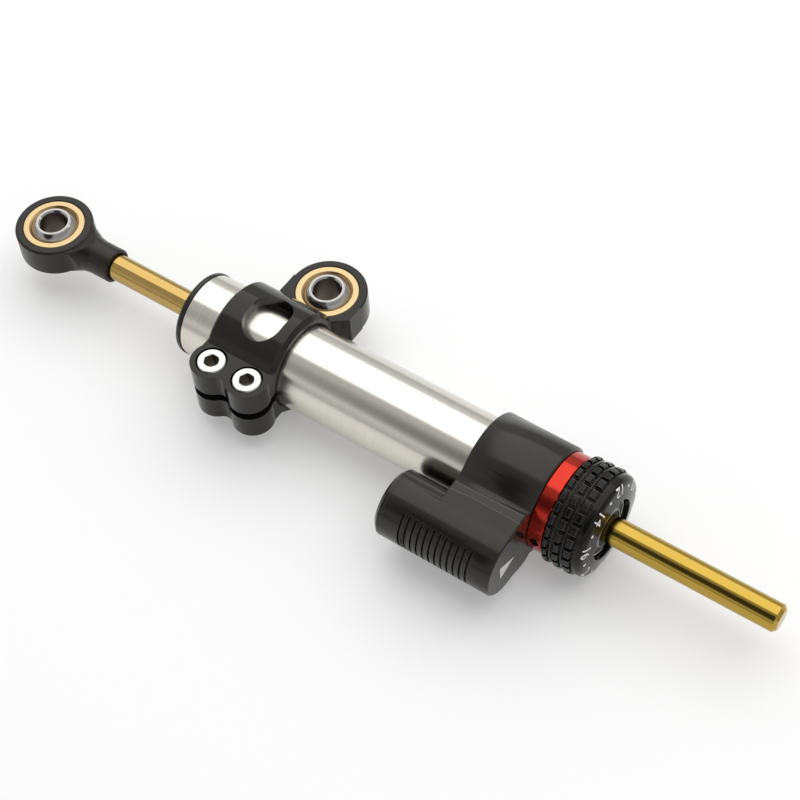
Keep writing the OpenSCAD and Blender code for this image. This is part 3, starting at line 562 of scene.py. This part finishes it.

# Balls
# Hardened chrome steel, polished, with a flat land round the bolt hole. The bore is ground and
# left dull, and its inside is painted dark as shade.
CHROME = (0.42, 0.405, 0.39)
CHROME_SHADE = (0.36, 0.345, 0.33)
BORE_PAINTED_SHADE = (0.15, 0.125, 0.105)
BORE_RADII = (0.00402, 0.00408)

# The bore's dark colour is painted shade; its higher roughness is the dull grinding.
for name, middle in (("rod_end_ball", Vector()), ("clamp_ball", CLAMP_EYE)):
    dress(turned_metal(
        name + "_chrome", CHROME, CHROME_SHADE, middle, ABOUT_Z, pitch=0.0004, rough=0.07,
        inner=(BORE_PAINTED_SHADE, 0.4, BORE_RADII),
    ), name)

# Clamp
# Milled from aluminium and anodised black, a little glossier than the head. Two screws close
# its ears on the tube.
CUTTER_LINE = (0.0002, 0.03, 0.03)

dress(black_anodised("clamp_black", CUTTER_LINE, rough=0.15, shine=0.34), "clamp_body")

# Clamp screws
# Zinc-plated socket screws, which close the split of the clamp. Their heads are turned, and
# the inside of the hexagon is painted dark as shade.
ZINC = (0.64, 0.63, 0.61)
ZINC_SHADE = (0.58, 0.57, 0.55)
SOCKET_PAINTED_SHADE = (0.20, 0.18, 0.155)
SOCKET_RADIUS = 0.0025
SOCKET_RIM = 0.00005
SOCKET_DEPTHS = (0.0004, 0.0002)
PLATING_SPOT = 0.0002
PLATING_ROUGH = (0.24, 0.3)
SCREW_EDGE = 0.00008
SCREW_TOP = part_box("clamp_screws")[1].z
SCREW_Y = sum(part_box("clamp_screws"), Vector()).y / 2
SCREW_XS = (0.0747, 0.0871)

screw_finish, tree, shader = bare_finish("bright_zinc", ZINC, 1, 0.26)
plating = grain(tree, (PLATING_SPOT,) * 3)
from_axis = reckon(tree, "MINIMUM", *(
    distance_from(tree, (x, SCREW_Y, 0), ABOUT_Z) for x in SCREW_XS
))
height = node_in(tree, "ShaderNodeSeparateXYZ", {"Vector": place_of(tree)}).outputs["Z"]
# Painted shade: the socket's inside, within its radius and below its top, is painted dark.
within = spread_over(tree, from_axis, 1, 0, SOCKET_RADIUS, SOCKET_RADIUS + SOCKET_RIM)
below = spread_over(tree, height, 1, 0, *(SCREW_TOP - depth for depth in SOCKET_DEPTHS))
skin = mixed(tree, spread_over(tree, plating, 0, 1), ZINC_SHADE, ZINC)
tree.links.new(mixed(tree, reckon(tree, "MULTIPLY", within, below), skin, SOCKET_PAINTED_SHADE),
               shader.inputs["Base Color"])
tree.links.new(spread_over(tree, plating, *PLATING_ROUGH), shader.inputs["Roughness"])
tree.links.new(rounded_edges(tree, SCREW_EDGE), shader.inputs["Normal"])
dress(screw_finish, "clamp_screws")

# Red collar and its set screw
# Turned aluminium, anodised and dyed red, with the fine lines of the lathe round it. The
# small screw in it is blackened steel.
RED = (0.52, 0.042, 0.027)
RED_DEEP = (0.44, 0.03, 0.02)
DYED_LINE = (0.0001, 0.012, 0.012)
DYED_ROUGH = (0.13, 0.2)
DYED_SMEAR = 0.5
BLACK_STEEL = (0.05, 0.048, 0.045)
BLACK_STEEL_DEEP = (0.03, 0.029, 0.027)

collar_finish, tree, shader = bare_finish("red_anodised", RED, 1, 0.24)
collar_lines = grain(tree, DYED_LINE, 3)
tree.links.new(mixed(tree, spread_over(tree, collar_lines, 0, 1), RED_DEEP, RED),
               shader.inputs["Base Color"])
tree.links.new(spread_over(tree, collar_lines, *DYED_ROUGH), shader.inputs["Roughness"])
edges = rounded_edges(tree, EDGE_BREAK)
tree.links.new(raised(tree, collar_lines, depth=0.000008, strength=0.3, normal=edges),
               shader.inputs["Normal"])
turned_about_x(tree, shader, DYED_SMEAR)
dress(collar_finish, "red_collar")
dress(turned_metal(
    "black_steel", BLACK_STEEL, BLACK_STEEL_DEEP, Vector(), ABOUT_Z, pitch=0.0003, rough=0.35,
), "collar_set_screw")

# Adjuster dial
# Turned aluminium with three knurled rows, anodised a deeper black than the head. The edges
# of the knurl are painted bright as a highlight.
DIAL_BLACK = (0.004, 0.004, 0.0035)
DIAL_EDGE_HIGHLIGHT = (0.13, 0.125, 0.115)

# The knurl's paler edges are a painted highlight.
dress(black_anodised(
    "dial_black", CUTTER_LINE, rough=0.15, shine=0.24, black=DIAL_BLACK, edge_wear_and_highlight=DIAL_EDGE_HIGHLIGHT
), "adjuster_dial")

# Dial numbers
# Even clicks have a number and odd ones a dot, engraved and filled in white. The tops of the
# figures point to the rod.
WHITE_FILL = (0.95, 0.95, 0.93)
FIRST_CLICK = 2
CLICKS = 16
FIRST_ANGLE = math.radians(205)
CLICK_ANGLE = math.radians(22.5)
NUMBER_RADIUS = 0.0129
NUMBER_SIZE = 0.0043
NUMBER_HEIGHT = 0.00003
NUMBER_CUT = 0.0001
CUTS_EACH_WAY = 16
DOT_RADIUS = 0.00045

dial_faces = surface_of("adjuster_dial")
dial_axis = sum(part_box("adjuster_dial"), Vector()) / 2


def figure_mesh(text):
    """The outline of a number as a thin closed mesh, centred, with its height along Z."""
    font = bpy.data.curves.new("number", "FONT")
    font.body = text
    font.size = NUMBER_SIZE
    font.align_x = "CENTER"
    font.align_y = "CENTER"
    font.extrude = NUMBER_HEIGHT
    font.resolution_u = 6
    holder = bpy.data.objects.new("number", font)
    bpy.context.scene.collection.objects.link(holder)
    bpy.context.view_layer.update()
    solid = bpy.data.meshes.new_from_object(
        holder.evaluated_get(bpy.context.evaluated_depsgraph_get())
    )
    bpy.data.objects.remove(holder)
    return solid


def on_dial(bm, angle):
    """Turns a mark that is drawn flat, so that its top points to the dial's axis."""
    outward = Vector((0, math.cos(angle), math.sin(angle)))
    along = Vector((0, -math.sin(angle), math.cos(angle)))
    turn = Matrix((along, -outward, Vector((1, 0, 0)))).transposed().to_4x4()
    middle = Vector((0, dial_axis.y, dial_axis.z)) + outward * NUMBER_RADIUS
    bmesh.ops.transform(bm, matrix=Matrix.Translation(middle) @ turn, verts=bm.verts)
    press_on(bm, dial_faces)


marks = bmesh.new()
for click in range(FIRST_CLICK, FIRST_CLICK + CLICKS):
    bm = bmesh.new()
    if click % 2 == 0:
        bm.from_mesh(figure_mesh(str(click)))
        bmesh.ops.remove_doubles(bm, verts=bm.verts, dist=MERGE)
        heights = [vert.co.y for vert in bm.verts]
        bmesh.ops.translate(bm, verts=bm.verts, vec=(0, -(min(heights) + max(heights)) / 2, 0))
        for cut in range(-CUTS_EACH_WAY, CUTS_EACH_WAY + 1):
            cut_across_y(bm, cut * NUMBER_CUT)
    else:
        bmesh.ops.create_cone(
            bm, cap_ends=True, segments=24, radius1=DOT_RADIUS, radius2=DOT_RADIUS,
            depth=2 * NUMBER_HEIGHT,
        )
    on_dial(bm, FIRST_ANGLE + (click - FIRST_CLICK) * CLICK_ANGLE)
    mark = bpy.data.meshes.new("mark")
    bm.to_mesh(mark)
    bm.free()
    marks.from_mesh(mark)
dial_marks = make_piece("dial_numbers", marks, filled_mark("white_fill", WHITE_FILL))
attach(dial_marks, "dial")

# Hub and its ring
# The grey hub guides the rod, and a dark snap ring holds the dial on it. The ring's outer
# edge is painted bright as a highlight.
HUB = (0.30, 0.30, 0.29)
HUB_DEEP = (0.24, 0.24, 0.23)
RING_EDGE_HIGHLIGHT = (0.85, 0.85, 0.84)
RING_BLACK = (0.02, 0.019, 0.018)
RING_EDGE = (0.008, 0.0081)
RING_PITCH = 0.0002
RING_ROUGH = (0.3, 0.45)
ABOUT_X = (0, 1, 1)

dress(turned_metal(
    "hub_grey", HUB, HUB_DEEP, dial_axis, ABOUT_X, pitch=RING_PITCH, rough=0.42,
), "rod_hub")
ring_finish, tree, shader = bare_finish("dark_ring_painted_edge_highlight", RING_BLACK, 0, 0.4)
# Painted highlight: the ring's outer edge is painted bright over its dark colour.
outer_edge = spread_over(tree, distance_from(tree, dial_axis, ABOUT_X), 0, 1, *RING_EDGE)
tree.links.new(mixed(tree, outer_edge, RING_BLACK, RING_EDGE_HIGHLIGHT), shader.inputs["Base Color"])
ring_lines = tool_rings(tree, dial_axis, ABOUT_X, RING_PITCH)
tree.links.new(spread_over(tree, ring_lines, *RING_ROUGH), shader.inputs["Roughness"])
dress(ring_finish, "dial_circlip")

# Seals
# Black rubber wipers, lip seals and round rings, with a slightly powdery skin.
# They sit hidden in their grooves.
RUBBER = (0.03, 0.03, 0.031)
RUBBER_DEEP = (0.02, 0.02, 0.021)
RUBBER_PALE = (0.045, 0.045, 0.046)
POWDER_SPOT = 0.0004

rubber, tree, shader = bare_finish("seal_rubber", RUBBER, 0, 0.62)
powder = grain(tree, (POWDER_SPOT,) * 3, 4)
tree.links.new(mixed(tree, spread_over(tree, powder, 0, 1), RUBBER_DEEP, RUBBER_PALE),
               shader.inputs["Base Color"])
tree.links.new(raised(tree, powder, depth=0.00002, strength=0.3), shader.inputs["Normal"])
dress(rubber, "front_rod_seal", "front_wiper", "front_cap_o_ring", "head_o_ring",
      "rear_rod_seal", "rear_wiper", "reservoir_cap_o_ring", "reservoir_piston_o_ring",
      "sleeve_o_ring", "piston_band_o_ring", "piston_rod_o_ring")

# Bushes and guide band
# Sintered bronze bushes carry the rod, and a filled plastic band carries the piston.
# Both are plain bearings that run in the damper's oil.
BRONZE = (0.56, 0.38, 0.2)
BRONZE_DEEP = (0.42, 0.27, 0.13)
BAND = (0.10, 0.26, 0.22)
BAND_DEEP = (0.07, 0.2, 0.17)
BAND_PALE = (0.13, 0.3, 0.26)
FLECK_SPOT = 0.0002
INNER_PITCH = 0.0003

dress(turned_metal(
    "bush_bronze", BRONZE, BRONZE_DEEP, Vector(), ABOUT_X, pitch=INNER_PITCH, rough=0.4,
), "front_bush", "rear_bush")
band_finish, tree, shader = bare_finish("guide_plastic", BAND, 0, 0.5)
fleck = grain(tree, (FLECK_SPOT,) * 3, 3)
tree.links.new(mixed(tree, spread_over(tree, fleck, 0, 1), BAND_DEEP, BAND_PALE),
               shader.inputs["Base Color"])
dress(band_finish, "piston_band")

# Inner metal
# The pistons, the metering sleeve and the detent ball are turned and left bare. The piston's
# two circlips and the detent's spring are spring steel.
ALLOY = (0.66, 0.66, 0.67)
ALLOY_DEEP = (0.52, 0.52, 0.53)
SPRING = (0.6, 0.6, 0.59)
SPRING_DEEP = (0.5, 0.5, 0.49)

dress(turned_metal(
    "bare_alloy", ALLOY, ALLOY_DEEP, Vector(), ABOUT_X, pitch=INNER_PITCH, rough=0.3,
), "piston", "reservoir_piston", "metering_sleeve", "detent_ball")
dress(turned_metal(
    "spring_steel", SPRING, SPRING_DEEP, Vector(), ABOUT_X, pitch=INNER_PITCH, rough=0.25,
), "piston_circlips", "detent_spring")
